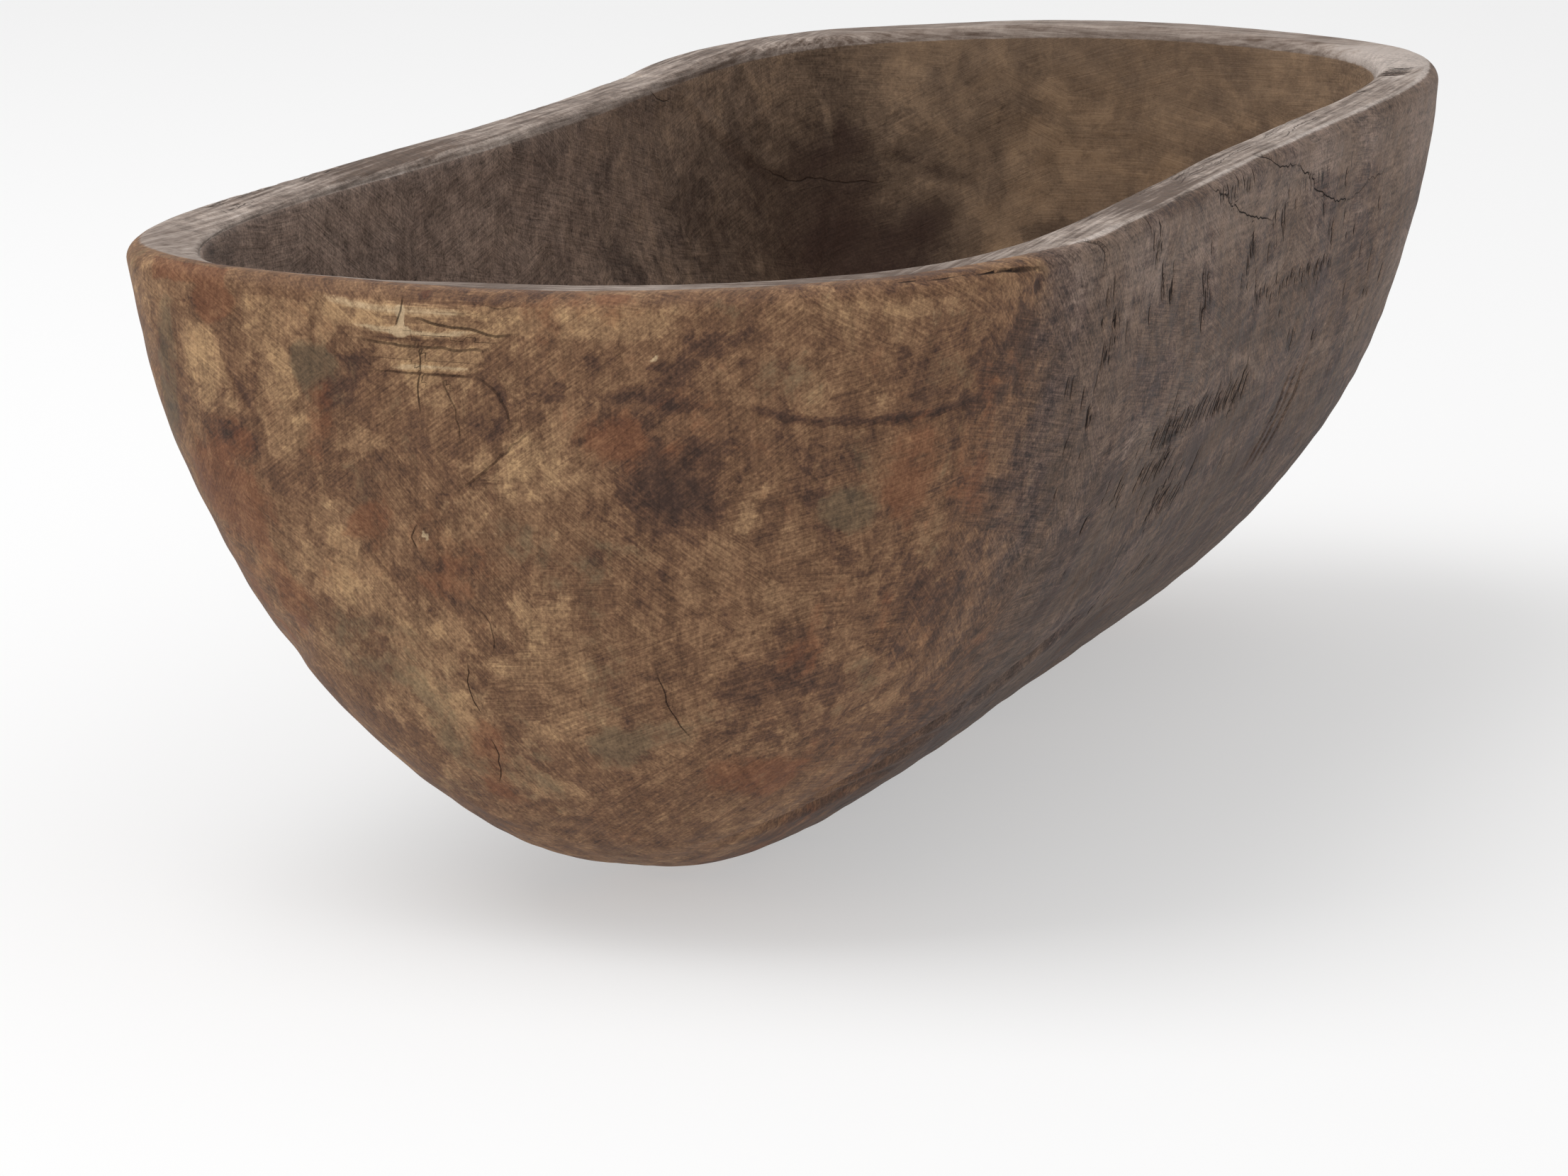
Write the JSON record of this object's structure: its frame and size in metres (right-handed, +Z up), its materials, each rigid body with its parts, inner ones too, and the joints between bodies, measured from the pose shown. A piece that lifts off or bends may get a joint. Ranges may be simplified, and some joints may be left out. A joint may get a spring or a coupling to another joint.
{
  "type": "carved bowl",
  "caption": "Long deep oval bowl carved from a single log, thick walled, with a soft rim, rounded ends and a narrow flat to stand on.",
  "frame": {"origin": "middle of the bowl's box at the bottom, on the plane that the bowl stands on", "axes": "+Z up, +X along the bowl towards its higher end, +Y across it"},
  "size_m": [0.6602, 0.3072, 0.2202],
  "materials": {
    "carved_wood": "dry, waxed and worn hardwood, mottled brown outside and greyer on the rim and inside"
  },
  "bodies": {
    "root": {"carved_bowl": "carved_wood"}
  },
  "joints": []
}
